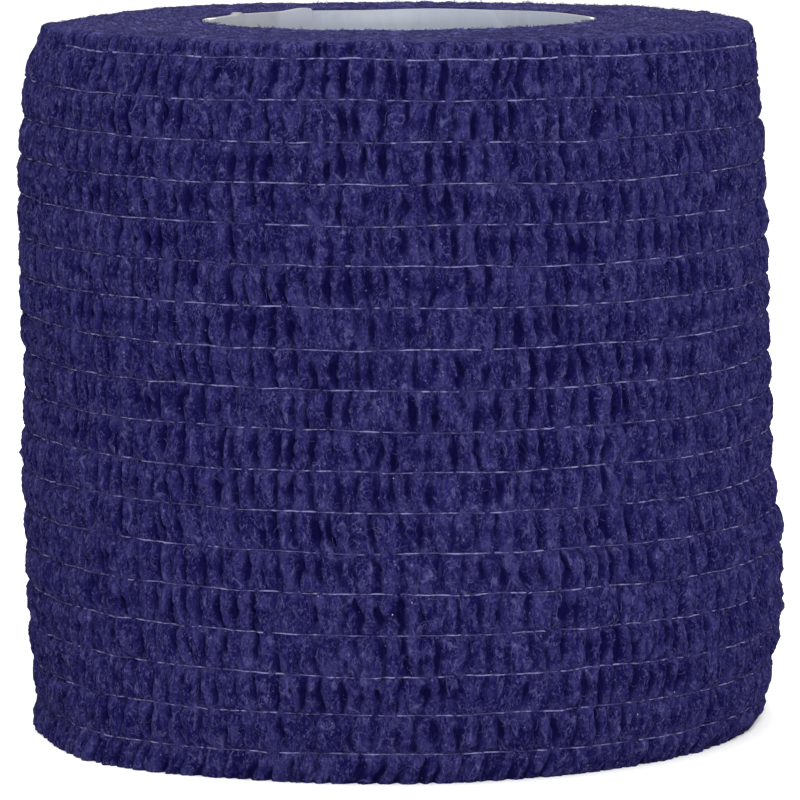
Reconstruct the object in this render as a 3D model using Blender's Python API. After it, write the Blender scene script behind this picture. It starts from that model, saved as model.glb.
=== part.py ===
"""A roll of cohesive bandage, standing on one end, around the pale tube it is wound on.

Metres, +Z up. The origin is on the roll's axis, at the middle of its bottom face. The front of the roll is
towards -Y. Angles run anticlockwise from +X, seen from above.
"""

import math

import bpy
import numpy as np

MM = 0.001

# The roll.
ROLL_HEIGHT = 50.0 * MM
BORE_RADIUS = 13.9 * MM
THREAD_COUNT = 18
THREAD_PITCH = 2.755 * MM
TOP_MARGIN = 1.2 * MM  # from the top face down to the first thread
THREAD_DEPTH = 0.3 * MM  # how far a thread draws the cloth in
PUCKER = 0.15 * MM  # unevenness of the cloth between two threads
STANDING_PUCKER = 0.4  # share of it that runs down the whole wall
BAND_SHARES = (0.28, 0.72)  # places of the two rows of each band, as shares of the way to the next thread
LAP_THICKNESS = 0.5 * MM  # one turn of bandage, which is the step at its outer end
LAP_END_ANGLE = 108.0  # degrees: the outer end is at the back
LAP_END_WIDTH = 0.9  # degrees that the step takes
RIM_ROUND = 0.8 * MM
FOOT_ROUND = 0.35 * MM
BORE_ROUND = 0.3 * MM
TOP_FACE_RADIUS = 24.2 * MM
FOOT_FACE_RADIUS = 24.0 * MM
FACE_DIP = 0.22 * MM  # unevenness of the top face, always downwards

# The barrel form of the wound roll: the wall's radius, and how far each height has slipped towards +X.
# Columns: height, radius, slip, in mm.
BARREL = (
    (50.0, 25.45, 0.0),
    (46.0, 25.95, -0.4),
    (40.0, 26.4, -0.4),
    (32.0, 26.55, -0.2),
    (25.0, 26.5, 0.05),
    (19.0, 26.7, 0.05),
    (13.0, 26.95, 0.55),
    (8.0, 26.9, 0.65),
    (4.0, 26.45, 0.5),
    (1.5, 26.1, 0.4),
    (0.0, 26.0, -0.1),
)

# The tube.
TUBE_HEIGHT = 49.8 * MM
TUBE_OUTER_RADIUS = 13.58 * MM  # 0.32 mm clear of the bandage
TUBE_INNER_RADIUS = 12.95 * MM
STRIP_THICKNESS = 0.4 * MM  # the tube is a strip rolled on itself, and this is the step of its inner end
STRIP_END_ANGLE = 118.0
STRIP_END_WIDTH = 1.2
FLAP_RISE = 0.2 * MM  # the strip's end stands a little proud of the tube
FLAP_ANGLE = 122.0
FLAP_SPREAD = 5.0

ROLL_COLUMNS = 84
TUBE_COLUMNS = 48
SEED = 7
SHARP_ANGLE = 75.0  # degrees: an edge that turns more than this is shaded sharp


def clear_scene():
    for found in list(bpy.data.objects):
        bpy.data.objects.remove(found, do_unlink=True)


def material(name, colour, roughness):
    """A Principled material with no metal in it; colour is linear red, green and blue."""
    made = bpy.data.materials.new(name)
    made.use_nodes = True
    made.diffuse_color = (*colour, 1.0)
    shader = made.node_tree.nodes["Principled BSDF"]
    shader.inputs["Base Color"].default_value = (*colour, 1.0)
    shader.inputs["Roughness"].default_value = roughness
    shader.inputs["Metallic"].default_value = 0.0
    return made


def smooth_between(positions, heights, values):
    """Values at the positions, on a curve that eases in and out of each row of the table."""
    heights = np.asarray(heights)
    values = np.asarray(values)
    place = np.clip(np.searchsorted(heights, positions) - 1, 0, len(heights) - 2)
    share = (positions - heights[place]) / (heights[place + 1] - heights[place])
    share = np.clip(share, 0.0, 1.0)
    eased = share * share * (3.0 - 2.0 * share)
    return values[place] + (values[place + 1] - values[place]) * eased


def barrel(heights):
    """The wall's radius and slip, in metres, at the given heights."""
    table = np.array(sorted(BARREL)) * MM
    radius = smooth_between(heights, table[:, 0], table[:, 1])
    slip = smooth_between(heights, table[:, 0], table[:, 2])
    return radius, slip


def stepped_angles(columns, step_angle, step_width):
    """The columns' angles, in radians, and each one's share of the turn from one side of the step to the other."""
    share = np.linspace(0.0, 1.0, columns)
    degrees = step_angle + step_width / 2 + (360.0 - step_width) * share
    return np.radians(degrees), share


def thread_heights():
    first = ROLL_HEIGHT - TOP_MARGIN
    return [first - THREAD_PITCH * number for number in range(THREAD_COUNT)]


def wall_rows():
    """Rows of the outer wall from the top rim down, as (height, inset from the barrel, share of the puckers)."""
    rows = [
        (ROLL_HEIGHT, RIM_ROUND, 0.0),
        (ROLL_HEIGHT - 0.3 * RIM_ROUND, 0.3 * RIM_ROUND, 0.3),
        (ROLL_HEIGHT - 0.9 * RIM_ROUND, 0.0, 0.7),
    ]
    threads = thread_heights()
    for number, height in enumerate(threads):
        rows.append((height, THREAD_DEPTH, 0.2))
        if number + 1 < THREAD_COUNT:
            for share in BAND_SHARES:
                rows.append((height - share * THREAD_PITCH, 0.0, 1.0))
    lowest = threads[-1]
    rows.append((0.5 * lowest + FOOT_ROUND, 0.0, 0.8))
    rows.append((0.5 * FOOT_ROUND, 0.2 * FOOT_ROUND, 0.4))
    rows.append((0.0, FOOT_ROUND, 0.0))
    return rows


def ring_points(angles, radius, height, slip=0.0):
    radius = np.broadcast_to(radius, angles.shape)
    height = np.broadcast_to(height, angles.shape)
    return np.stack([radius * np.cos(angles) + slip, radius * np.sin(angles), height], axis=1)


def wandering(rng, count):
    """A smooth closed random wave round the roll, between -1 and 1."""
    turn = np.linspace(0.0, 2.0 * math.pi, count)
    wave = np.zeros(count)
    for cycles in range(2, 9):
        wave += rng.uniform(-1.0, 1.0) * np.sin(cycles * turn + rng.uniform(0.0, 2.0 * math.pi))
    return wave / np.abs(wave).max()


def roll_rings():
    """Every ring of the wound bandage in order: down the wall, in across the foot, up the bore, out over the top."""
    rng = np.random.default_rng(SEED)
    angles, share = stepped_angles(ROLL_COLUMNS, LAP_END_ANGLE, LAP_END_WIDTH)
    lap = LAP_THICKNESS * (0.5 - share)
    standing = wandering(rng, ROLL_COLUMNS)
    rings = []
    for height, inset, puckers in wall_rows():
        radius, slip = barrel(height)
        rough = STANDING_PUCKER * standing + rng.uniform(-1.0, 1.0, ROLL_COLUMNS)
        radius = radius + lap - inset + PUCKER * puckers * rough
        rings.append(ring_points(angles, radius, height, slip))
    bore_rim = BORE_RADIUS + BORE_ROUND
    for radius in np.linspace(FOOT_FACE_RADIUS, bore_rim, 3):
        rings.append(ring_points(angles, radius, 0.0))
    for height in np.linspace(BORE_ROUND, ROLL_HEIGHT - FACE_DIP - BORE_ROUND, 5):
        rings.append(ring_points(angles, BORE_RADIUS, height))
    for radius in np.linspace(bore_rim, TOP_FACE_RADIUS, 5):
        dip = 0.5 + 0.25 * wandering(rng, ROLL_COLUMNS) + 0.25 * rng.uniform(-1.0, 1.0, ROLL_COLUMNS)
        rings.append(ring_points(angles, radius, ROLL_HEIGHT - FACE_DIP * dip))
    return rings


def tube_rings():
    """Every ring of the tube in order: down the outside, in across the foot, up the inside."""
    angles, share = stepped_angles(TUBE_COLUMNS, STRIP_END_ANGLE, STRIP_END_WIDTH)
    inner = TUBE_INNER_RADIUS - STRIP_THICKNESS * (1.0 - share)
    turn_from_flap = (np.degrees(angles) - FLAP_ANGLE + 180.0) % 360.0 - 180.0
    top = TUBE_HEIGHT + FLAP_RISE * np.exp(-((turn_from_flap / FLAP_SPREAD) ** 2))
    middle = 0.5 * TUBE_HEIGHT
    return [
        ring_points(angles, TUBE_OUTER_RADIUS, top),
        ring_points(angles, TUBE_OUTER_RADIUS, middle),
        ring_points(angles, TUBE_OUTER_RADIUS, 0.0),
        ring_points(angles, inner, 0.0),
        ring_points(angles, inner, middle),
        ring_points(angles, inner, top),
    ]


def closed_ring_body(name, rings, finish):
    """One closed body whose rings of points are joined each to the next, and the last to the first."""
    rows = len(rings)
    columns = len(rings[0])
    points = np.concatenate(rings)
    faces = []
    for row in range(rows):
        below = (row + 1) % rows
        for column in range(columns):
            beside = (column + 1) % columns
            faces.append(
                (
                    row * columns + column,
                    below * columns + column,
                    below * columns + beside,
                    row * columns + beside,
                )
            )
    mesh = bpy.data.meshes.new(name)
    mesh.from_pydata(points.tolist(), [], faces)
    mesh.materials.append(finish)
    mesh.validate()
    mesh.shade_smooth()
    mesh.set_sharp_from_angle(angle=math.radians(SHARP_ANGLE))
    body = bpy.data.objects.new(name, mesh)
    bpy.context.scene.collection.objects.link(body)
    return body


def centred(rings_of_all, rings_of_leader):
    """The rings, moved level so that the middle of the leading body's box is on the Z axis."""
    points = np.concatenate(rings_of_leader)
    middle = 0.5 * (points.min(axis=0) + points.max(axis=0))
    middle[2] = 0.0
    return [[ring - middle for ring in rings] for rings in rings_of_all]


def main():
    clear_scene()
    cloth = material("bandage_cloth", (0.022, 0.016, 0.105), 0.95)
    card = material("core_card", (0.44, 0.47, 0.53), 0.7)
    roll, tube = roll_rings(), tube_rings()
    roll, tube = centred((roll, tube), roll)
    closed_ring_body("wound_bandage", roll, cloth)
    closed_ring_body("core_tube", tube, card)


main()
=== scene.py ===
"""The looks of a cohesive bandage roll that stands on one end: its crinkled cloth, elastic threads, stray
fibres and tube, with a pale floor, soft lights and the camera.

Lengths are in millimetres up to the moment a mesh is made, and +Z is up. The front of the roll is towards -Y,
and angles run anticlockwise from +X, seen from above. The roll is worked out on one grid: columns run round
it, and rows run from the rim of the bore out over the top face, round the rim and down the wall to the foot.
"""

import math

import bpy
import numpy as np
from mathutils import Matrix, Vector


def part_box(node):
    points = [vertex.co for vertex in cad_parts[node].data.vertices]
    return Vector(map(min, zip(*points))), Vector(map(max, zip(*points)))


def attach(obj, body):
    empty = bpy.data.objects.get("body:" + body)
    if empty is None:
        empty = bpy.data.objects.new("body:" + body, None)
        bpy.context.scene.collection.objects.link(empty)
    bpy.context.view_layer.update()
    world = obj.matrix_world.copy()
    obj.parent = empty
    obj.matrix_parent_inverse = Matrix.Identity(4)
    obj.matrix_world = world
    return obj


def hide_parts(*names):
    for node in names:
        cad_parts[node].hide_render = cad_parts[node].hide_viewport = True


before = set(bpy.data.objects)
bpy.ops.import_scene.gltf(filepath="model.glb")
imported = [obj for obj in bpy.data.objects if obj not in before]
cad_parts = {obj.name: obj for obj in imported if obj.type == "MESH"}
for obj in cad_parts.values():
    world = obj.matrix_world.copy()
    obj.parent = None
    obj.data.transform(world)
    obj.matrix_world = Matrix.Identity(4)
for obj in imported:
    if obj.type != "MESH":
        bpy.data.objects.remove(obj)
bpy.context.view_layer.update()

MM = 0.001
TURN = 2.0 * math.pi

# Places taken from the frame.
ROLL_LOW, ROLL_HIGH = (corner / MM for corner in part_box("wound_bandage"))
TUBE_LOW, TUBE_HIGH = (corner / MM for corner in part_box("core_tube"))
AXIS = 0.5 * (TUBE_LOW + TUBE_HIGH)
HEIGHT = ROLL_HIGH.z - ROLL_LOW.z

# The wound form, close to that of the solids. Angles are in degrees.
GIRTH = 166.0  # once round the wall
MIDDLE_RADIUS = 26.5  # the wall's radius half way up
BORE_RADIUS = 14.08  # the cloth hugs the tube
LAP_THICKNESS = 0.5  # one turn of bandage, which is the step at its outer end
LAP_END_ANGLE = 108.0  # the outer end is at the back
LAP_LIP = 0.1  # the outer end's edge stands up by this much
LAP_LIP_WIDTH = 0.5
RIM_ROUND = 0.64
RIM_DROOP = 0.55  # the rim sags by this much at the left
RIM_DROOP_ANGLE = 162.0
RIM_DROOP_SPREAD = 0.32  # radians
RIM_TAPER = 0.38  # the wall draws in by this much towards the rim
RIM_TAPER_DEPTHS = (0.4, 5.0)
FOOT_ROUND = 0.5
FOOT_INSET = 0.25
FOOT_BULGE = 1.1  # the foot is fuller by this much towards the front left
FOOT_BULGE_ANGLE = 221.5
FOOT_BULGE_SPREAD = 0.28  # radians
FOOT_BULGE_HEIGHT = 8.0  # how far up the wall it reaches
# Columns: height, radius, slip towards +X.
BARREL = (
    (50.0, 25.45, 0.0),
    (46.0, 25.95, -0.4),
    (40.0, 26.4, -0.4),
    (32.0, 26.55, -0.2),
    (25.0, 26.5, 0.05),
    (19.0, 26.7, 0.05),
    (13.0, 26.95, 0.55),
    (8.0, 26.9, 0.65),
    (4.0, 26.45, 0.5),
    (1.5, 26.1, 0.4),
    (0.0, 26.0, -0.1),
)
LEAN = 0.009  # the wall is this much out of square with the end faces: it goes towards -X lower down

# The threads' lines.
THREAD_COUNT = 18
THREAD_PITCH = 2.755
TOP_MARGIN = 1.2  # from the top face down to the first thread
THREAD_DEPTH = 0.5  # how far a thread draws the cloth in
THREAD_TILT = 0.009  # the upper threads run down towards +X by this much of their radius
LEVEL_THREADS = (13.0, 18.0)  # between these threads, counted from the top, most of that tilt is lost
BRIDGE_HEIGHT = 0.22  # of the tufts that hide a thread
HIDDEN_ASIDE = 20.0  # tufts hide most of the first thread, round this many degrees on from the rim's sag

# The crinkles.
PUCKER_WIDTH = 1.4
PUCKER_STAND = 0.19  # how far the puckers' tops stand out from the wound form
CREASE_DEPTH = 0.65  # of the creases between puckers
WRINKLE_WIDTH = 0.68
WRINKLE_DEPTH = 0.3  # of the small wrinkles on a pucker
FOLD_WIDTH = 0.75
FOLD_DEPTH = 0.34  # of the folds that run from thread to thread
CREASE_FLOOR = 0.8  # a point's lift is 1 on the puckers' tops and 0 this far below them

# The grid.
COLUMNS = 1400
# The rows of each band, as shares of the way to the next thread.
BAND_ROWS = (0.0, 0.05, 0.14, 0.26, 0.38, 0.5, 0.62, 0.74, 0.86, 0.95)
LEAST_BAND = 0.03  # no row comes nearer than this to the lowest one
RIM_TURNS = (84.0, 62.0, 40.0, 18.0)  # how many degrees round the rim each of its rows is, from the wall
RIM_SMOOTHING = 20  # columns either way
FACE_ROWS = 48
BORE_STEPS = (3.0, 1.0, 0.3)  # how far down the bore the rows below the top face are
# The rings of the foot face. Columns: radius, height.
FOOT_RINGS = (
    (25.0, 0.0),
    (19.5, 0.0),
    (BORE_RADIUS + 0.2, 0.0),
    (BORE_RADIUS, 0.3),
    (BORE_RADIUS, 3.0),
)
END_FADE_START = 7  # the look of the end face fades from this many rows inside its outer edge
END_FADE_ROWS = 12.0
MID_TURN = 0.5  # where no gap between two turns shows
WALL_PIECES = 4

# The threads and fibres.
THREAD_RADIUS = 0.066
THREAD_STEPS = 560
THREAD_SIDES = 4
THREAD_SMOOTHING = 6  # columns either way
FIBRE_RADIUS = 0.017
FIBRE_SIDES = 3
WALL_FIBRES = 4200
WALL_FIBRE_STEPS = 5
FACE_FIBRES = 8200
FACE_FIBRE_STEPS = 3

# The tube, a strip of card rolled on itself. Angles are in degrees.
TUBE_OUTER = 14.02
TUBE_INNER = 13.68
TUBE_COLUMNS = 480
CARD_BEVEL = 0.05
SHARP_ANGLE = 50.0  # an edge that turns more than this is shaded sharp
STRIP_THICKNESS = 0.4  # the step at the strip's inner end
STRIP_END_ANGLE = 118.0
FLAP_RISE = 0.22  # the strip's end stands this proud of the rim
FLAP_ANGLE = 120.5
FLAP_SPREAD = 5.5
FLAP_CUT = -2.4  # where the flap is cut off, from its highest place
NUB_RISE = 0.18  # a small bump in the rim, on from the flap
NUB_ANGLE = 148.6
NUB_SPREAD = 1.3
SHADE_FADE_ANGLES = (230.0, 300.0)  # the painted shade on the card fades out between these
# Where painted highlights lie on the card's cut edge. Columns: angle, reach either way.
CUT_EDGE_GLINTS = (
    (170.5, 5.5),
    (2.5, 5.0),
)

# The seeds of what is scattered.
ROLL_SEED = 11
CRINKLE_SEED = 23
FACE_SEED = 37
WALL_FIBRE_SEED = 53
FACE_FIBRE_SEED = 71
THREAD_SEED = 83
TUBE_SEED = 5

# The floor and lights, in metres and watts. All lights face one place.
FLOOR_SIZE = 4.0
LIT_PLACE = (0.0, 0.0, 0.03)
# Columns: name, place, size, power.
LIGHTS = (
    ("key", (0.1, -1.0, 0.55), 0.35, 11.9),
    ("over", (-0.15, 0.1, 1.0), 0.6, 5.1),
    ("side", (0.85, 0.3, 0.35), 0.4, 1.6),
)

# The camera, in millimetres and radians.
CAMERA_AWAY = 400.0
CAMERA_ABOVE = 22.9  # above the top face
CAMERA_ASIDE = -0.12
CAMERA_DOWN = 0.1244
CAMERA_ROLL = -0.0073
CAMERA_LENS = 254.0
CAMERA_SENSOR = 36.0
CAMERA_NEAR = 10.0


# ---------------------------------------------------------------------------------------------- noise


def eased(share):
    return share * share * (3.0 - 2.0 * share)


def ramp(value, low, high):
    """0 below low, 1 above high, and eased between them."""
    return eased(np.clip((value - low) / (high - low), 0.0, 1.0))


def wall_noise(rng, x, y, wide, tall):
    """Smooth noise between -1 and 1 on the unrolled wall, closed round the roll. wide and tall are its
    grain."""
    across = max(4, round(GIRTH / wide))
    down = int(np.ceil(float(np.max(y)) / tall)) + 3
    values = rng.uniform(-1.0, 1.0, (down, across))
    u = x / GIRTH * across
    v = y / tall + 1.0
    left = np.floor(u).astype(int)
    top = np.floor(v).astype(int)
    su, sv = eased(u - left), eased(v - top)
    upper = values[top, left % across] * (1.0 - su) + values[top, (left + 1) % across] * su
    lower = values[top + 1, left % across] * (1.0 - su) + values[top + 1, (left + 1) % across] * su
    return upper * (1.0 - sv) + lower * sv


def solid_noise(rng, points, grain):
    """Smooth noise between -1 and 1 in space, for points given as (..., 3)."""
    size = 4096
    stride = np.array([1, 57, 3251])
    table = rng.uniform(-1.0, 1.0, size)
    place = points / grain
    corner = np.floor(place).astype(int)
    share = eased(place - corner)
    total = 0.0
    for dx in (0, 1):
        for dy in (0, 1):
            for dz in (0, 1):
                which = (corner + np.array([dx, dy, dz])) @ stride % size
                weight = (
                    (share[..., 0] if dx else 1.0 - share[..., 0])
                    * (share[..., 1] if dy else 1.0 - share[..., 1])
                    * (share[..., 2] if dz else 1.0 - share[..., 2])
                )
                total = total + table[which] * weight
    return total


def puckers(rng, x, y, wide, tall, squash, stray, rows_beside=(-1, 0, 1)):
    """Lobes scattered on the unrolled wall, one for each wide by tall cell. Returns how far each point is
    from the crease round its lobe, and a random number between 0 and 1 that belongs to the lobe. A lobe meets
    those of its own row only when rows_beside is (0,)."""
    across = round(GIRTH / wide)
    down = int(np.ceil(float(np.max(y)) / tall)) + 3
    step = GIRTH / across
    middle_x = (np.arange(across) + 0.5 + stray * rng.uniform(-1.0, 1.0, (down, across))) * step
    middle_y = (np.arange(down)[:, None] - 0.5 + 0.35 * stray * rng.uniform(-1.0, 1.0, (down, across))) * tall
    mark = rng.uniform(0.0, 1.0, (down, across))
    column = np.floor(x / step).astype(int)
    row = np.floor(y / tall).astype(int) + 1
    lobes = []
    for down_by in rows_beside:
        for across_by in (-2, -1, 0, 1, 2):
            r = np.clip(row + down_by, 0, down - 1)
            c = (column + across_by) % across
            dx = middle_x[r, c] - x
            lobes.append((dx - GIRTH * np.round(dx / GIRTH), squash * (middle_y[r, c] - y), mark[r, c]))
    own_x, own_y, own_mark = lobes[0]
    for dx, dy, lobe_mark in lobes[1:]:
        nearer = np.hypot(dx, dy) < np.hypot(own_x, own_y)
        own_x, own_y = np.where(nearer, dx, own_x), np.where(nearer, dy, own_y)
        own_mark = np.where(nearer, lobe_mark, own_mark)
    crease = np.full(x.shape, 1e9)
    for dx, dy, _ in lobes:
        apart = np.hypot(dx - own_x, dy - own_y)
        away = 0.5 * ((dx + own_x) * (dx - own_x) + (dy + own_y) * (dy - own_y)) / np.maximum(apart, 1e-6)
        crease = np.where(apart > 1e-6, np.minimum(crease, away), crease)
    return crease, own_mark


def puff(distance, reach):
    """Rises steeply from 0 at a crease and levels off at 1, as the side of a cushion does."""
    share = np.clip(distance / reach, 0.0, 1.0)
    return np.sqrt(1.0 - (1.0 - share) ** 2)


# ------------------------------------------------------------------------------------ the roll's grid


def barrel(height):
    """The wall's radius and slip at the given heights."""
    table = np.array(sorted(BARREL))
    place = np.clip(np.searchsorted(table[:, 0], height) - 1, 0, len(table) - 2)
    share = eased(np.clip((height - table[place, 0]) / (table[place + 1, 0] - table[place, 0]), 0.0, 1.0))
    radius = table[place, 1] + (table[place + 1, 1] - table[place, 1]) * share
    slip = table[place, 2] + (table[place + 1, 2] - table[place, 2]) * share
    return radius, slip


def band_at(depth):
    """Counts threads down the wall: 1 at the first thread, 18 at the last, 0 to 1 above the first."""
    return 1.0 + (depth - TOP_MARGIN) / THREAD_PITCH


def wall_bands():
    """The wall's rows, as band numbers, from just under the rim down to the foot."""
    bands = [band_at(RIM_ROUND), *BAND_ROWS[-2:]]
    for number in range(1, THREAD_COUNT):
        bands += [number + share for share in BAND_ROWS]
    lowest = band_at(HEIGHT)
    bands += [THREAD_COUNT + share for share in BAND_ROWS if THREAD_COUNT + share < lowest - LEAST_BAND]
    bands.append(lowest)
    return np.array(bands)


def placed(radius, angle, height, slip=0.0):
    """Points round the roll's axis, moved by slip towards +X."""
    return np.stack(
        [AXIS.x + radius * np.cos(angle) + slip, AXIS.y + radius * np.sin(angle), height + 0.0 * radius],
        axis=-1,
    )


class Roll:
    """The roll's surface as a grid of points, with what the threads, fibres and materials need from it."""

    def __init__(self):
        self.rng = np.random.default_rng(ROLL_SEED)
        self.x = np.arange(COLUMNS) / COLUMNS * GIRTH
        self.angle = self.x / GIRTH * TURN
        self.bands = wall_bands()
        self.make_threads_wander()
        wall = self.wall()
        rim = self.rim(wall)
        face = self.face(rim)
        parts = zip(face[:4], rim, wall)
        self.radius, self.height, self.slip, self.lift = (np.concatenate(grids) for grids in parts)
        self.rows = {"face": len(face[0]), "rim": len(rim[0])}
        self.first_wall_row = self.rows["face"] + self.rows["rim"]
        self.turns = np.full(self.lift.shape, MID_TURN)
        self.turns[: self.rows["face"]] = face[4]
        self.end = self.end_look()
        self.points = placed(self.radius, self.angle, self.height, self.slip)

    def end_look(self):
        """How much each point looks like the end face: 1 there, then fading raggedly to 0 over the rim."""
        row = np.arange(self.first_wall_row + 2) - (self.rows["face"] - END_FADE_START)
        end = np.zeros(len(self.lift))
        end[: len(row)] = 1.0 - ramp(row, 0.0, END_FADE_ROWS)
        ragged = wall_noise(self.rng, self.x, 0.0 * self.x, 0.8, 1.0)
        return np.clip(end[:, None] + ragged * (end * (1.0 - end))[:, None], 0.0, 1.0)

    def ring(self, radius, height):
        """A level circle of points round the axis."""
        return placed(np.full(COLUMNS, radius), self.angle, np.full(COLUMNS, height))

    def make_threads_wander(self):
        """Each thread strays a little from its level, more slowly than the puckers do, and tilts."""
        number = np.arange(THREAD_COUNT + 2.0)[:, None]
        x = np.broadcast_to(self.x, (THREAD_COUNT + 2, COLUMNS))
        stray = 0.11 * wall_noise(self.rng, x, number, 9.0, 1.6)
        stray = stray + 0.06 * wall_noise(self.rng, x, number, 2.2, 0.5)
        tilted = THREAD_TILT * (1.0 - 0.6 * ramp(number, *LEVEL_THREADS))
        stray = stray - tilted * MIDDLE_RADIUS * np.cos(self.angle)
        stray[0] = 0.0
        stray[-1] = 0.0
        self.stray = stray

    def stray_at(self, band):
        upper = np.clip(np.floor(band).astype(int), 0, THREAD_COUNT)
        share = (band - upper)[:, None]
        return self.stray[upper] * (1.0 - share) + self.stray[upper + 1] * share

    def lap(self, height):
        """The spiral of the wound cloth: it drops by one lap at the outer end, which is a slightly ragged
        line."""
        ragged = wall_noise(self.rng, 0.0 * height + 0.3, height, 3.0, 1.4)
        ragged = 0.3 * ragged + 0.12 * wall_noise(self.rng, 0.0 * height + 0.3, height, 3.0, 0.5)
        past_end = (self.x - LAP_END_ANGLE / 360.0 * GIRTH - ragged) % GIRTH
        lip = LAP_LIP * np.exp(-((past_end / LAP_LIP_WIDTH) ** 2))
        return LAP_THICKNESS * (0.5 - past_end / GIRTH) + lip

    def crinkle(self, x, y, share):
        """Depth of the crinkles, downwards from the puckers' tops. share runs from 0 at a thread to 1 at the
        next."""
        rng = np.random.default_rng(CRINKLE_SEED)
        bulge = np.sin(np.pi * np.clip(share, 0.0, 1.0))
        # Where the creases, wrinkles and folds are: distances from them, on a wall that is pulled askew.
        warp = 0.15 * wall_noise(rng, x, y, 1.3, 0.9) + 0.1 * wall_noise(rng, x, y, 0.6, 0.45)
        slant = 0.25 * wall_noise(rng, x, y, 2.6, 2.2)
        main, mark = puckers(rng, x + warp + slant, y, PUCKER_WIDTH, THREAD_PITCH, 0.3, 0.48, (0,))
        minor, minor_mark = puckers(rng, x + 1.4 * warp, y, WRINKLE_WIDTH, 0.5 * THREAD_PITCH, 0.45, 0.45)
        fold, _ = puckers(rng, x + 1.2 * warp + slant, y, FOLD_WIDTH, THREAD_PITCH, 0.3, 0.48, (0,))
        # How strong they are from place to place: some gape, some are broken, all are weaker by the threads.
        gape = ramp(wall_noise(rng, x, y, 1.1, 1.9), -0.6, 0.7)
        broken = 0.75 + 0.25 * ramp(wall_noise(rng, x, y, 0.8, 0.8), -0.5, 0.3)
        strength = (0.9 + 0.2 * wall_noise(rng, x, y, 2.6, 2.2)) * (0.5 + 0.5 * bulge**0.7)
        ragged = 0.08 * wall_noise(rng, x, y, 0.3, 0.35) + 0.05 * wall_noise(rng, x, y, 0.5, 0.7)
        # The creases, wrinkles and folds themselves.
        from_crease = main + ragged - (0.02 + 0.14 * gape) * bulge**0.5
        valley = 1.0 - 0.65 * puff(from_crease, 0.25) - 0.35 * ramp(from_crease, 0.0, 0.4)
        down = CREASE_DEPTH * strength * (0.64 + 0.46 * gape) * broken * valley
        down = down + WRINKLE_DEPTH * strength * (0.3 + 0.9 * minor_mark) * (1.0 - puff(minor, 0.22))
        shown = ramp(wall_noise(rng, x, y, 0.75, 1.3), -0.3, 0.5)
        down = down + FOLD_DEPTH * strength * shown * (1.0 - puff(fold + ragged, 0.2))
        # No two puckers stand equally high, each is fullest at its own height, and all are a little rough.
        sag = (share - 0.35 - 0.35 * minor_mark) * 2.0
        down = down + bulge * (0.15 * mark + 0.1 * minor_mark - 0.05 + 0.04 * sag**2)
        down = down + 0.08 * wall_noise(rng, x, y, 0.65, 0.6) + 0.06 * wall_noise(rng, x, y, 0.32, 0.8)
        down = down + 0.07 * wall_noise(rng, x, y, 0.45, 0.4) + 0.05 * wall_noise(rng, x, y, 0.24, 0.28)
        return down - PUCKER_STAND

    def wall(self):
        """The wall, from just under the rim down to the foot."""
        band = self.bands
        depth = TOP_MARGIN + (band - 1.0) * THREAD_PITCH
        height = (HEIGHT - depth)[:, None] + self.stray_at(band)
        radius, slip = barrel(height)
        share = np.broadcast_to((band - np.floor(band))[:, None], height.shape)
        x = np.broadcast_to(self.x, height.shape)
        y = np.broadcast_to((band * THREAD_PITCH)[:, None], height.shape)
        slip = slip - LEAN * (HEIGHT - height)
        below_rim = (0.5 + 0.5 * ramp(depth, 1.5, 3.0))[:, None]
        drawn_in = THREAD_DEPTH * (1.0 - np.sin(np.pi * share) ** 0.5) * below_rim
        self.bridges = self.thread_bridges(x, y, share)
        down = self.crinkle(x, y, share) - self.bridges
        lap = np.stack([self.lap(row) for row in height])
        foot = ramp(depth, HEIGHT - FOOT_ROUND, HEIGHT)[:, None]
        radius = radius + lap - drawn_in - down - FOOT_INSET * foot
        radius = radius - RIM_TAPER * (1.0 - ramp(depth, *RIM_TAPER_DEPTHS))[:, None]
        foot_bulge = np.exp(-(((self.angle - math.radians(FOOT_BULGE_ANGLE)) / FOOT_BULGE_SPREAD) ** 2))
        low_down = ramp(depth, HEIGHT - FOOT_BULGE_HEIGHT, HEIGHT - FOOT_ROUND)[:, None]
        radius = radius + FOOT_BULGE * foot_bulge * low_down
        height[-1] = 0.0
        return radius, height, slip, 1.0 - np.clip((down + PUCKER_STAND) / CREASE_FLOOR, 0.0, 1.0)

    def thread_bridges(self, x, y, share):
        """Tufts of cloth that rise over the threads here and there and hide them. Beside the sagging rim they
        hide most of the first thread."""
        near = np.minimum(share, 1.0 - share)
        where = wall_noise(self.rng, x, y, 0.45, THREAD_PITCH) + 0.4 * wall_noise(self.rng, x, y, 0.9, 1.5)
        from_droop = np.abs(x / GIRTH * 360.0 - RIM_DROOP_ANGLE - HIDDEN_ASIDE)
        where = where + 1.6 * (1.0 - ramp(from_droop, 17.0, 29.0)) * (y < 1.5 * THREAD_PITCH)
        return BRIDGE_HEIGHT * ramp(where, 0.5, 0.85) * np.exp(-((near / 0.1) ** 2))

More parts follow.
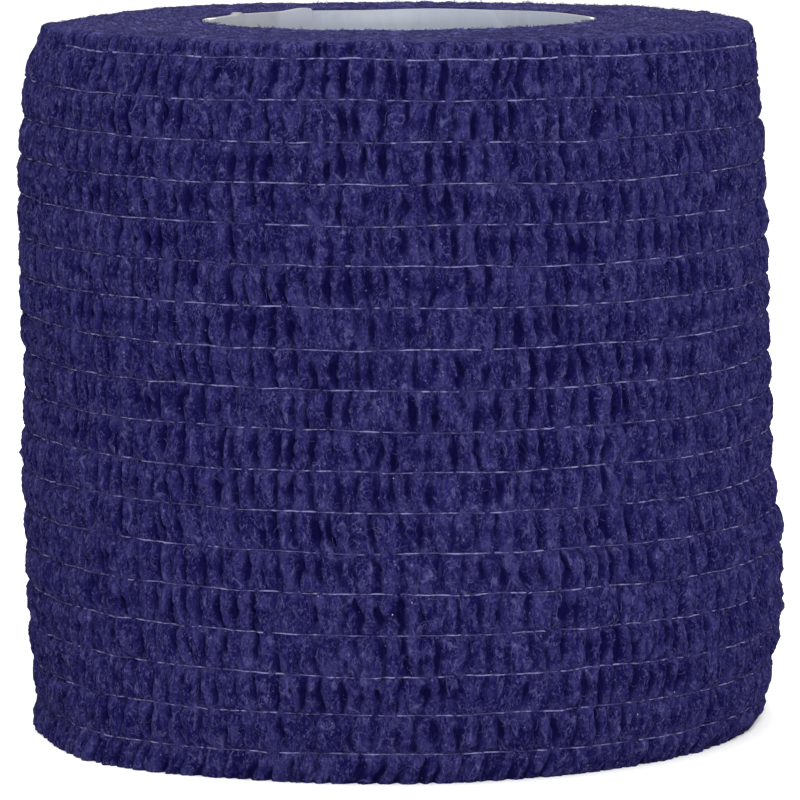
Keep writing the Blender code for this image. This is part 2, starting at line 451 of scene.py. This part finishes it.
    def rim(self, wall):
        """Rows that carry the top of the wall round the rim, from the face's side."""
        turns = np.radians(RIM_TURNS)
        radius, height, slip, lift = (grid[0] for grid in wall)
        padded = np.concatenate([radius[-RIM_SMOOTHING:], radius, radius[:RIM_SMOOTHING]])
        window = 2 * RIM_SMOOTHING + 1
        smooth_radius = np.convolve(padded, np.ones(window) / window, mode="valid")
        droop = np.exp(-(((self.angle - math.radians(RIM_DROOP_ANGLE)) / RIM_DROOP_SPREAD) ** 2))
        radii, heights, lifts = [], [], []
        for turn in turns:
            round_top = math.sin(turn) ** 2
            edge = radius + 0.7 * round_top * (smooth_radius - radius)
            radii.append(edge - RIM_ROUND * (1.0 - np.cos(turn)))
            sag = RIM_DROOP * math.sin(turn) * droop
            heights.append(height + RIM_ROUND * np.sin(turn) * (0.93 + 0.07 * lift) - sag)
            lifts.append(lift + 0.9 * round_top * (1.0 - lift))
        return np.stack(radii), np.stack(heights), np.stack([slip] * len(turns)), np.stack(lifts)

    def face(self, rim):
        """The top end face, from the bore's rim out to the rounded rim."""
        rng = np.random.default_rng(FACE_SEED)
        outer, outer_height, outer_slip, outer_lift = (grid[0] for grid in rim)
        share = np.linspace(0.0, 1.0, FACE_ROWS, endpoint=False)[:, None]
        radius = BORE_RADIUS + (outer - BORE_RADIUS) * share
        spread = placed(radius, self.angle, 0.0 * radius)
        mean_outer = float(outer.mean())
        lap = self.lap(np.full(COLUMNS, HEIGHT))
        wobble = 0.16 * solid_noise(rng, spread, 2.4) + 0.09 * solid_noise(rng, spread, 0.9)
        turns = (mean_outer + lap - radius + wobble) / LAP_THICKNESS
        down = 0.04 + 0.11 * solid_noise(rng, spread, 0.5) + 0.03 * solid_noise(rng, spread, 3.5)
        down = down + 0.05 * solid_noise(rng, spread, 1.0) + 0.06 * solid_noise(rng, spread, 0.3)
        down = down * (0.3 + 0.7 * ramp(share, 0.0, 0.12))
        near_rim = ramp(share, 0.9, 1.0)
        # The face rises towards the bore, most of all at the left.
        left = np.maximum(-np.cos(self.angle), 0.0) ** 2
        level = HEIGHT - 0.03 + (0.17 + 0.1 * left) * (1.0 - share)
        height = (level - down) * (1.0 - near_rim) + outer_height * near_rim
        height = height - 0.12 * (1.0 - ramp(share, 0.0, 0.02))
        lift = 1.0 - np.clip((down + 0.15) / 0.55, 0.0, 1.0)
        lift = lift * (1.0 - near_rim) + outer_lift * near_rim
        slip = outer_slip * ramp(share, 0.3, 1.0)
        return radius, height, slip, lift, turns


# ------------------------------------------------------------------------------------- making meshes


def new_object(name, mesh, material):
    mesh.materials.append(material)
    made = bpy.data.objects.new(name, mesh)
    bpy.context.scene.collection.objects.link(made)
    return made


def mesh_of(name, points, faces, **marks):
    """A smooth mesh from points in millimetres and faces that all have the same number of corners. Each mark
    is an attribute with one value for each point."""
    mesh = bpy.data.meshes.new(name)
    count, corners = faces.shape
    mesh.vertices.add(len(points))
    mesh.vertices.foreach_set("co", (points * MM).astype(np.float32).ravel())
    mesh.loops.add(count * corners)
    mesh.loops.foreach_set("vertex_index", faces.astype(np.int32).ravel())
    mesh.polygons.add(count)
    mesh.polygons.foreach_set("loop_start", np.arange(0, count * corners, corners, dtype=np.int32))
    mesh.update(calc_edges=True)
    mesh.shade_smooth()
    for mark, values in marks.items():
        attribute = mesh.attributes.new(mark, "FLOAT", "POINT")
        attribute.data.foreach_set("value", values.astype(np.float32).ravel())
    return mesh


def ring_faces(rows, columns):
    """Faces between rows of points that each close on themselves, facing out when rows run down the wall."""
    row, column = np.meshgrid(np.arange(rows - 1), np.arange(columns), indexing="ij")
    upper, lower = row * columns, (row + 1) * columns
    beside = (column + 1) % columns
    return np.stack([upper + column, lower + column, lower + beside, upper + beside], axis=-1).reshape(-1, 4)


def tubes(paths, radii, sides):
    """Thin tubes along many paths at once. paths is (tubes, steps, 3) and radii is (tubes, steps)."""
    count, steps, _ = paths.shape
    along = np.gradient(paths, axis=1)
    along /= np.linalg.norm(along, axis=2, keepdims=True) + 1e-9
    outward = paths - np.array([AXIS.x, AXIS.y, 0.0])
    outward[..., 2] = 0.2 * np.linalg.norm(outward[..., :2], axis=2)
    side = np.cross(along, outward)
    side /= np.linalg.norm(side, axis=2, keepdims=True) + 1e-9
    up = np.cross(side, along)
    rings = []
    for turn in np.arange(sides) / sides * TURN:
        rings.append(paths + radii[..., None] * (np.cos(turn) * side + np.sin(turn) * up))
    points = np.stack(rings, axis=2).reshape(-1, 3)
    tube, step, edge = np.meshgrid(np.arange(count), np.arange(steps - 1), np.arange(sides), indexing="ij")
    start = (tube * steps + step) * sides
    after = start + sides
    beside = (edge + 1) % sides
    faces = np.stack([start + edge, start + beside, after + beside, after + edge], axis=-1).reshape(-1, 4)
    return points, faces


# ------------------------------------------------------------------------------------------ materials


class Nodes:
    """Short names for the node trees below. Textures read object coordinates in millimetres."""

    def __init__(self, name):
        self.material = bpy.data.materials.new(name)
        self.material.use_nodes = True
        self.tree = self.material.node_tree
        self.shader = self.tree.nodes["Principled BSDF"]
        place = self.tree.nodes.new("ShaderNodeTexCoord")
        scaled = self.tree.nodes.new("ShaderNodeVectorMath")
        scaled.operation = "SCALE"
        scaled.inputs["Scale"].default_value = 1.0 / MM
        self.tree.links.new(place.outputs["Object"], scaled.inputs[0])
        self.place = scaled.outputs[0]

    def link(self, source, target):
        """Sets a socket to a number or a colour, or links another node's output to it."""
        if isinstance(source, (int, float)):
            target.default_value = source
        elif isinstance(source, tuple):
            target.default_value = (*source, 1.0)
        else:
            self.tree.links.new(source, target)

    def noise(self, scale, detail=2.0, rough=0.5, place=None, distortion=0.0):
        node = self.tree.nodes.new("ShaderNodeTexNoise")
        node.inputs["Scale"].default_value = scale
        node.inputs["Detail"].default_value = detail
        node.inputs["Roughness"].default_value = rough
        node.inputs["Distortion"].default_value = distortion
        self.tree.links.new(place or self.place, node.inputs["Vector"])
        return node.outputs["Fac"]

    def moved(self, offset, stretch=(1.0, 1.0, 1.0)):
        node = self.tree.nodes.new("ShaderNodeMapping")
        node.inputs["Location"].default_value = offset
        node.inputs["Scale"].default_value = stretch
        self.tree.links.new(self.place, node.inputs["Vector"])
        return node.outputs[0]

    def math(self, operation, first, second=0.0, clamp=False):
        node = self.tree.nodes.new("ShaderNodeMath")
        node.operation = operation
        node.use_clamp = clamp
        self.link(first, node.inputs[0])
        self.link(second, node.inputs[1])
        return node.outputs[0]

    def weighted(self, *parts, clamp=False):
        """The sum of (value, weight) pairs."""
        terms = [self.math("MULTIPLY", value, weight) for value, weight in parts]
        total = terms[0]
        for term in terms[1:]:
            total = self.math("ADD", total, term, clamp=clamp and term is terms[-1])
        return total

    def spread(self, value, low, high, to_low=0.0, to_high=1.0):
        """Maps low to to_low and high to to_high, eased between them and held level beyond them."""
        node = self.tree.nodes.new("ShaderNodeMapRange")
        node.interpolation_type = "SMOOTHSTEP"
        self.link(value, node.inputs["Value"])
        node.inputs["From Min"].default_value = low
        node.inputs["From Max"].default_value = high
        node.inputs["To Min"].default_value = to_low
        node.inputs["To Max"].default_value = to_high
        return node.outputs[0]

    def mix(self, share, first, second):
        node = self.tree.nodes.new("ShaderNodeMix")
        node.data_type = "RGBA"
        self.link(share, node.inputs["Factor"])
        self.link(first, node.inputs["A"])
        self.link(second, node.inputs["B"])
        return node.outputs["Result"]

    def attribute(self, name):
        node = self.tree.nodes.new("ShaderNodeAttribute")
        node.attribute_name = name
        return node.outputs["Fac"]

    def bump(self, height, depth):
        node = self.tree.nodes.new("ShaderNodeBump")
        node.inputs["Strength"].default_value = 1.0
        node.inputs["Distance"].default_value = depth * MM
        self.link(height, node.inputs["Height"])
        return node.outputs[0]

    def strands(self, scale, offset, thin):
        """Curly hair-thin lines: the places where a smooth noise passes its middle value, broken up by
        another noise."""
        place = self.moved(offset, (1.0, 1.0, 0.6))
        line = self.math("ABSOLUTE", self.math("SUBTRACT", self.noise(scale, 1.0, 0.4, place, 0.9), 0.5))
        line = self.spread(line, 0.0, thin, 1.0, 0.0)
        broken = self.noise(1.3 * scale, 1.0, 0.5, self.moved((offset[1], offset[2], offset[0])))
        return self.math("MULTIPLY", line, self.spread(broken, 0.48, 0.6))

    def folds(self, scale, offset, levels, thin):
        """Nested curved lines, like the folds round a pucker: level lines of a smooth noise, broken up by
        another noise."""
        place = self.moved(offset, (1.0, 1.0, 0.4))
        level = self.math("MULTIPLY", self.noise(scale, 1.0, 0.4, place, 0.4), levels)
        line = self.spread(self.math("PINGPONG", level, 0.5), 0.0, thin, 1.0, 0.0)
        broken = self.noise(1.6 * scale, 2.0, 0.5, self.moved((offset[2], offset[0], offset[1])))
        return self.math("MULTIPLY", line, self.spread(broken, 0.46, 0.6))

    def specks(self, scale, size):
        """Scattered dots, about one for each cube with sides of 1 / scale that comes near them."""
        node = self.tree.nodes.new("ShaderNodeTexVoronoi")
        node.inputs["Scale"].default_value = scale
        self.tree.links.new(self.place, node.inputs["Vector"])
        return self.spread(node.outputs["Distance"], 0.3 * size * scale, size * scale, 1.0, 0.0)

    def set(self, **values):
        for name, value in values.items():
            self.link(value, self.shader.inputs[name.replace("_", " ")])


def cloth_material():
    """Dyed non-woven: curly fibres in every direction over a deep violet felt, with painted shade down in the
    creases and a few bits of pale lint. The cut edges of the turns, on the end faces, are paler and downier,
    and their paler colour is partly painted sheen and light from above."""
    n = Nodes("bandage_cloth")
    end = n.attribute("end")
    lift = n.attribute("lift")

    # The end faces get paler colours than the wall: partly the paler, downier cut edges of the turns, partly
    # painted sheen and light from above.
    def shade(wall, face):
        return n.mix(end, wall, face)

    # Felt: three tones in patches of several sizes, with painted light making it a little paler on the
    # puckers' tops.
    upright = n.moved((0.0, 0.0, 0.0), (1.0, 1.0, 0.6))
    mottle = n.noise(0.95, 3.0, 0.6, upright)
    blotch = n.noise(2.1, 2.0, 0.6, upright)
    grain = n.noise(5.0, 3.0, 0.65, upright)
    patches = n.weighted((blotch, 0.36), (grain, 0.42), (mottle, 0.22))
    patches = n.math("ADD", patches, n.spread(lift, 0.66, 0.99, -0.022, 0.02))
    deep = shade((0.0035, 0.0027, 0.034), (0.0135, 0.0118, 0.063))
    middle = shade((0.009, 0.0077, 0.053), (0.031, 0.028, 0.11))
    pale = shade((0.0265, 0.0243, 0.092), (0.09, 0.085, 0.215))
    colour = n.mix(n.spread(mottle, 0.4, 0.6), deep, middle)
    colour = n.mix(n.spread(patches, 0.465, 0.615, 0.0, 0.66), colour, pale)
    # Fibres and fine folds over it; the folds' pale lines are painted highlights on the folds' edges.
    long_strands = n.strands(1.15, (3.0, 11.0, 7.0), 0.03)
    short_strands = n.strands(2.3, (17.0, 5.0, 23.0), 0.05)
    fine_strands = n.strands(4.2, (41.0, 31.0, 2.0), 0.07)
    folds = n.folds(0.6, (29.0, 13.0, 37.0), 8.0, 0.12)
    strands = n.weighted(
        (long_strands, 0.42), (short_strands, 0.43), (fine_strands, 0.5), (folds, 0.5), clamp=True
    )
    colour = n.mix(strands, colour, shade((0.06, 0.056, 0.15), (0.085, 0.08, 0.2)))
    # Painted shade down in the creases, and painted shade in the gaps between the turns of the end faces.
    crease_shade = n.spread(lift, 0.2, 0.86, 0.92, 0.0)
    colour = n.mix(crease_shade, colour, shade((0.0024, 0.0017, 0.028), (0.0035, 0.003, 0.03)))
    between = n.spread(n.math("PINGPONG", n.attribute("turns"), 0.5), 0.0, 0.24, 1.0, 0.0)
    between = n.math("MULTIPLY", between, n.math("MULTIPLY", end, n.spread(mottle, 0.35, 0.6, 0.25, 0.75)))
    colour = n.mix(between, colour, (0.006, 0.005, 0.038))
    # Small glints, and lint.
    glints = n.math("MULTIPLY", n.specks(1.5, 0.085), n.spread(blotch, 0.42, 0.6, 0.0, 0.6))
    colour = n.mix(glints, colour, (0.13, 0.125, 0.24))
    colour = n.mix(n.specks(0.3, 0.075), colour, (0.42, 0.41, 0.47))
    height = n.weighted((strands, 0.6), (grain, 0.8), (between, -0.8))
    n.set(Base_Color=colour, Roughness=0.92, Normal=n.bump(height, 0.07), Specular_IOR_Level=0.02)
    return n.material


def fibre_material():
    """Single fibres that lie loose on the cloth, a few of them undyed."""
    n = Nodes("bandage_fibre")
    shade = n.noise(0.55, 2.0, 0.5)
    colour = n.mix(n.spread(shade, 0.35, 0.65), (0.014, 0.0125, 0.06), (0.044, 0.04, 0.115))
    undyed = n.spread(n.noise(0.45, 0.0, 0.5, n.moved((9.0, 4.0, 1.0))), 0.78, 0.82)
    colour = n.mix(undyed, colour, (0.09, 0.085, 0.12))
    n.set(Base_Color=colour, Roughness=0.7, Specular_IOR_Level=0.15)
    return n.material


def thread_material():
    """Fine elastic thread, pale violet and only faintly glossy. Its colour is darker where cloth clings to
    it, and its paler stretches are painted highlights.
    """
    n = Nodes("elastic_thread")
    cling_and_highlight = n.noise(1.1, 2.0, 0.6)
    colour = n.mix(n.spread(cling_and_highlight, 0.36, 0.58), (0.143, 0.137, 0.287), (0.031, 0.028, 0.095))
    n.set(Base_Color=colour, Roughness=0.35, Specular_IOR_Level=0.04)
    return n.material


def card_material():
    """Smooth pale card: long faint streaks along the tube, a little grain, soft dents and small scuffs, and a
    smoother cut edge with painted highlights in two places. It is painted darker from tone 1 to tone 0, as
    painted shade inside the tube."""
    n = Nodes("core_card")
    tone = n.attribute("tone")
    cut = n.attribute("cut")
    streaks = n.noise(1.6, 3.0, 0.6, n.moved((0.0, 0.0, 0.0), (1.0, 1.0, 0.06)))
    grain = n.noise(7.0, 3.0, 0.6)
    scuffs = n.noise(0.5, 4.0, 0.7)
    dents = n.spread(n.noise(0.22, 2.0, 0.55, n.moved((4.0, 9.0, 2.0), (1.0, 1.0, 0.7))), 0.52, 0.62)
    colour = n.mix(n.spread(streaks, 0.3, 0.7), (0.222, 0.242, 0.29), (0.238, 0.258, 0.305))
    colour = n.mix(n.spread(scuffs, 0.56, 0.72, 0.0, 0.5), colour, (0.21, 0.225, 0.26))
    # Painted shade: a little darker at tone 0.5, on the flap, and darker still at tone 0.
    colour = n.mix(n.spread(tone, 0.5, 1.0, 0.85, 0.0), colour, (0.228, 0.24, 0.288))
    colour = n.mix(n.spread(tone, 0.0, 0.5, 0.85, 0.0), colour, (0.182, 0.186, 0.211))
    colour = n.mix(n.spread(cut, 0.0, 0.5), colour, (0.2, 0.204, 0.223))
    # Painted highlights on the cut edge in two places.
    colour = n.mix(n.spread(cut, 0.5, 1.0), colour, (0.74, 0.74, 0.745))
    height = n.weighted((streaks, 0.7), (grain, 0.3), (dents, -2.4))
    rough = n.spread(cut, 0.0, 0.5, 0.55, 0.35)
    n.set(Base_Color=colour, Roughness=rough, Normal=n.bump(height, 0.03), Specular_IOR_Level=0.5)
    return n.material


# --------------------------------------------------------------------------------------------- pieces


def make_wall(roll, cloth):
    """The wall and rim in a few pieces that meet under threads."""
    first = roll.rows["face"] - 1
    last = len(roll.radius) - 1
    cuts = [first]
    for number in range(1, WALL_PIECES):
        band = round(number * THREAD_COUNT / WALL_PIECES)
        cuts.append(roll.first_wall_row + int(np.argmin(np.abs(roll.bands - band))))
    cuts.append(last)
    made = []
    for number, (top, bottom) in enumerate(zip(cuts[:-1], cuts[1:])):
        points = roll.points[top : bottom + 1].reshape(-1, 3)
        mesh = mesh_of(
            f"wall_{number + 1}",
            points,
            ring_faces(bottom + 1 - top, COLUMNS),
            lift=roll.lift[top : bottom + 1],
            end=roll.end[top : bottom + 1],
            turns=roll.turns[top : bottom + 1],
        )
        made.append(new_object(mesh.name, mesh, cloth))
    return made


def make_face(roll, material):
    """The top end face, and a short way down the bore."""
    rows = roll.rows["face"]
    inner = np.stack([roll.ring(BORE_RADIUS, HEIGHT - down) for down in BORE_STEPS])
    points = np.concatenate([inner, roll.points[:rows]]).reshape(-1, 3)
    below = np.zeros((len(inner), COLUMNS))
    lift = np.concatenate([below, roll.lift[:rows]])
    end = np.concatenate([below + 1.0, roll.end[:rows]])
    turns = np.concatenate([below + MID_TURN, roll.turns[:rows]])
    faces = ring_faces(rows + len(inner), COLUMNS)
    mesh = mesh_of("top_face", points, faces, lift=lift, end=end, turns=turns)
    return new_object(mesh.name, mesh, material)


def make_foot(roll, material):
    """The end face that the roll stands on, flat on the surface, and a short way up the bore."""
    outer_radius = float(roll.radius[-1].mean())
    rings = [roll.points[-1]]
    turns = [np.full(COLUMNS, MID_TURN)]
    lap = roll.lap(np.full(COLUMNS, 0.0))
    for radius, height in FOOT_RINGS:
        rings.append(roll.ring(radius, height))
        turns.append((outer_radius + lap - radius) / LAP_THICKNESS)
    points = np.concatenate(rings)
    whole = np.ones(len(points))
    faces = ring_faces(len(rings), COLUMNS)
    # A lift of 0.6 gives the foot face part of the painted crease shade.
    mesh = mesh_of("foot_face", points, faces, lift=0.6 * whole, end=whole, turns=np.concatenate(turns))
    return new_object(mesh.name, mesh, material)


def make_threads(roll, material):
    """One closed loop for each elastic thread, lying in the cloth and going under its tufts."""
    column = np.linspace(0.0, COLUMNS, THREAD_STEPS, endpoint=False).astype(int)
    order = np.arange(THREAD_COUNT)[:, None] + 0.0 * roll.x
    ripple = 0.05 * wall_noise(np.random.default_rng(THREAD_SEED), 0.0 * order + roll.x, order, 0.6, 0.9)
    kernel = np.hanning(2 * THREAD_SMOOTHING + 1)
    kernel /= kernel.sum()
    paths = []
    for number in range(1, THREAD_COUNT + 1):
        row = roll.first_wall_row + int(np.argmin(np.abs(roll.bands - number)))
        bare = roll.radius[row] - roll.bridges[row - roll.first_wall_row]
        padded = np.concatenate([bare[-THREAD_SMOOTHING:], bare, bare[:THREAD_SMOOTHING]])
        level = np.convolve(padded, kernel, mode="valid")
        level = np.maximum(level, bare) + 0.02 + ripple[number - 1]
        height, slip = roll.height[row][column], roll.slip[row][column]
        path = placed(level[column], roll.angle[column], height, slip)
        paths.append(np.concatenate([path, path[:1]]))
    paths = np.stack(paths)
    points, faces = tubes(paths, np.full(paths.shape[:2], THREAD_RADIUS), THREAD_SIDES)
    mesh = mesh_of("elastic_threads", points, faces)
    return new_object(mesh.name, mesh, material)


def hull_radius(roll):
    """The roll's radius with the creases bridged over, which is where loose fibres lie."""
    wide = roll.radius.copy()
    for shift in (1, 2, 3, 4):
        wide = np.maximum(wide, 0.5 * (np.roll(roll.radius, shift, 1) + np.roll(roll.radius, -shift, 1)))
    return wide


def make_wall_fibres(roll, material):
    """Loose fibres that curl over the wall."""
    rng = np.random.default_rng(WALL_FIBRE_SEED)
    steps = WALL_FIBRE_STEPS
    rows = slice(roll.first_wall_row, None)
    hull = hull_radius(roll)[rows]
    height, slip = roll.height[rows], roll.slip[rows]
    depth_of_row = HEIGHT - height.mean(axis=1)
    length = rng.uniform(0.25, 0.85, WALL_FIBRES)
    heading = rng.choice([0.25, 0.75], WALL_FIBRES) * TURN + rng.normal(0.0, 0.8, WALL_FIBRES)
    curl = rng.normal(0.0, 1.5, WALL_FIBRES)
    x = rng.uniform(0.0, GIRTH, WALL_FIBRES)
    depth = rng.uniform(0.8, HEIGHT - 0.6, WALL_FIBRES)
    arch = rng.uniform(0.01, 0.12, WALL_FIBRES)
    paths = []
    for step in range(steps):
        share = step / (steps - 1)
        row = np.interp(depth, depth_of_row, np.arange(len(depth_of_row)))
        low = np.clip(np.floor(row).astype(int), 0, len(depth_of_row) - 2)
        part = row - low
        column = np.floor(x / GIRTH * COLUMNS).astype(int) % COLUMNS
        surface = hull[low, column] * (1.0 - part) + hull[low + 1, column] * part
        level = height[low, column] * (1.0 - part) + height[low + 1, column] * part
        lift = FIBRE_RADIUS + arch * math.sin(math.pi * share)
        paths.append(placed(surface + lift, x / GIRTH * TURN, level, slip[low, column]))
        pace = length / (steps - 1)
        x = x + pace * np.cos(heading)
        depth = np.clip(depth + pace * np.sin(heading), 0.7, HEIGHT - 0.2)
        heading = heading + curl * pace + rng.normal(0.0, 0.35, WALL_FIBRES)
    paths = np.stack(paths, axis=1)
    thick = FIBRE_RADIUS * rng.uniform(0.6, 1.15, WALL_FIBRES)[:, None] * np.ones(steps)
    points, faces = tubes(paths, thick, FIBRE_SIDES)
    mesh = mesh_of("wall_fibres", points, faces)
    return new_object(mesh.name, mesh, material)


def make_face_fibres(roll, material):
    """Down on the top face and its two rims: short fibres that stand up or reach over the edge."""
    rng = np.random.default_rng(FACE_FIBRE_SEED)
    steps = FACE_FIBRE_STEPS
    rows = roll.rows["face"] + roll.rows["rim"]
    share = rng.choice([0.0, 1.0], FACE_FIBRES, p=[0.1, 0.9]) * rng.uniform(0.0, 1.0, FACE_FIBRES) ** 0.6
    row = np.clip((share * (rows - 1)).astype(int), 0, rows - 1)
    column = rng.integers(0, COLUMNS, FACE_FIBRES)
    start = roll.points[row, column]
    heading = rng.uniform(0.0, TURN, FACE_FIBRES)
    curl = rng.normal(0.0, 2.4, FACE_FIBRES)
    length = rng.uniform(0.06, 0.4, FACE_FIBRES)
    rise = rng.uniform(0.06, 0.26, FACE_FIBRES) * (1.0 - 0.6 * ramp(share, 0.75, 0.95))
    paths = [start + np.array([0.0, 0.0, -0.03])]
    for step in range(1, steps):
        pace = length / (steps - 1)
        reached = math.sin(0.75 * math.pi * (step - 1) / (steps - 1))
        climb = math.sin(0.75 * math.pi * step / (steps - 1)) - reached
        move = np.stack([np.cos(heading) * pace, np.sin(heading) * pace, rise * climb], axis=-1)
        paths.append(paths[-1] + move)
        heading = heading + curl * pace + rng.normal(0.0, 0.5, FACE_FIBRES)
    paths = np.stack(paths, axis=1)
    thick = FIBRE_RADIUS * rng.uniform(0.6, 1.1, FACE_FIBRES)[:, None] * np.ones(steps)
    points, faces = tubes(paths, thick, FIBRE_SIDES)
    mesh = mesh_of("face_fibres", points, faces)
    return new_object(mesh.name, mesh, material)


def make_tube(material):
    """The tube: a strip rolled on itself, whose inner end lies on the turn below it and stands a little
    proud."""
    rng = np.random.default_rng(TUBE_SEED)
    degrees = STRIP_END_ANGLE + np.arange(TUBE_COLUMNS) / TUBE_COLUMNS * 360.0
    angle = np.radians(degrees)
    past_end = (degrees - STRIP_END_ANGLE) / 360.0
    inner = TUBE_INNER - STRIP_THICKNESS * (1.0 - past_end)
    from_flap = degrees - FLAP_ANGLE
    rise = FLAP_RISE * np.exp(-((from_flap / FLAP_SPREAD) ** 2)) * (from_flap > FLAP_CUT)
    nub = NUB_RISE * np.exp(-(((degrees - NUB_ANGLE) / NUB_SPREAD) ** 2))
    wave = 0.04 * wall_noise(rng, degrees / 360.0 * GIRTH, 0.0 * degrees, 9.0, 1.0)
    # The rim stands a little higher at the left and at the back right.
    tilt = 0.05 * np.cos(angle - 1.0) + 0.12 * np.maximum(-np.cos(angle), 0.0) ** 2
    top = TUBE_HIGH.z + 0.04 + tilt + rise + nub + wave
    levels = (0.0 * top, 0.06, 6.0, 25.0, top - 1.2, top - CARD_BEVEL, top)
    insets = (CARD_BEVEL, 0.0, 0.0, 0.0, 0.0, 0.0, CARD_BEVEL)
    rings = []
    for level, inset in zip(levels[::-1], insets):
        rings.append((TUBE_OUTER - inset, level))
    for level, inset in zip(levels, insets):
        rings.append((inner + inset, level))
    points = [placed(radius + np.zeros(TUBE_COLUMNS), angle, height) for radius, height in rings]
    count = len(points)
    faces = ring_faces(count + 1, TUBE_COLUMNS) % (count * TUBE_COLUMNS)
    # Tone paints shade on the inside: 0 from past the flap round to 230 degrees, rising to 1 by 300 degrees,
    # and 0.5 on the flap.
    flap = 1.0 - ramp(degrees, FLAP_ANGLE + 9.0, FLAP_ANGLE + 12.0)
    tone = np.tile(0.5 * flap + ramp(degrees, *SHADE_FADE_ANGLES), count)
    # The cut edge is marked 0.5, raised to 1 where a painted highlight lies on it.
    cut_and_glint = np.full(TUBE_COLUMNS, 0.5)
    for middle, reach in CUT_EDGE_GLINTS:
        away = np.abs((degrees - middle + 180.0) % 360.0 - 180.0)
        cut_and_glint = cut_and_glint + 0.5 * (1.0 - ramp(away, 0.4 * reach, reach))
    cut = np.concatenate([cut_and_glint * (number in (0, count - 1)) for number in range(count)])
    mesh = mesh_of("tube", np.concatenate(points), faces, tone=tone, cut=cut)
    made = new_object(mesh.name, mesh, material)
    mesh.set_sharp_from_angle(angle=math.radians(SHARP_ANGLE))
    return made


# ------------------------------------------------------------------------- floor, lights and camera


def make_floor():
    mesh = bpy.data.meshes.new("floor")
    half = FLOOR_SIZE / 2
    corners = [(-half, -half, 0.0), (half, -half, 0.0), (half, half, 0.0), (-half, half, 0.0)]
    mesh.from_pydata(corners, [], [(0, 1, 2, 3)])
    n = Nodes("floor")
    n.set(Base_Color=(0.97, 0.97, 0.97), Roughness=0.8, Specular_IOR_Level=0.1)
    new_object("floor", mesh, n.material)


def make_light(name, place, size, power):
    light = bpy.data.lights.new(name, "AREA")
    light.shape = "DISK"
    light.size = size
    light.energy = power
    made = bpy.data.objects.new(name, light)
    made.location = place
    made.rotation_euler = (Vector(LIT_PLACE) - Vector(place)).to_track_quat("-Z", "Y").to_euler()
    bpy.context.scene.collection.objects.link(made)


def make_lights():
    for name, place, size, power in LIGHTS:
        make_light(name, place, size, power)
    world = bpy.data.worlds.new("studio")
    world.use_nodes = True
    background = world.node_tree.nodes["Background"]
    background.inputs["Color"].default_value = (1.0, 1.0, 1.0, 1.0)
    background.inputs["Strength"].default_value = 1.0
    bpy.context.scene.world = world
    bpy.context.scene.view_settings.view_transform = "Standard"


def make_camera():
    camera = bpy.data.objects.new("camera", bpy.data.cameras.new("camera"))
    camera.data.lens = CAMERA_LENS
    camera.data.sensor_width = CAMERA_SENSOR
    camera.data.clip_start = CAMERA_NEAR * MM
    place = Vector((AXIS.x + CAMERA_ASIDE, AXIS.y - CAMERA_AWAY, HEIGHT + CAMERA_ABOVE)) * MM
    tilt = Matrix.Rotation(math.pi / 2 - CAMERA_DOWN, 4, "X")
    camera.matrix_world = Matrix.Translation(place) @ tilt @ Matrix.Rotation(CAMERA_ROLL, 4, "Z")
    bpy.context.scene.collection.objects.link(camera)
    bpy.context.scene.camera = camera


def main():
    make_camera()
    make_lights()
    make_floor()
    cloth, fibre = cloth_material(), fibre_material()
    roll = Roll()
    pieces = make_wall(roll, cloth)
    pieces.append(make_face(roll, cloth))
    pieces.append(make_foot(roll, cloth))
    pieces.append(make_wall_fibres(roll, fibre))
    pieces.append(make_face_fibres(roll, fibre))
    for piece in pieces:
        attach(piece, "root")
        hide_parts("wound_bandage")
    threads = make_threads(roll, thread_material())
    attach(threads, "root")
    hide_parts("wound_bandage")
    tube = make_tube(card_material())
    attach(tube, "root")
    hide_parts("core_tube")


main()
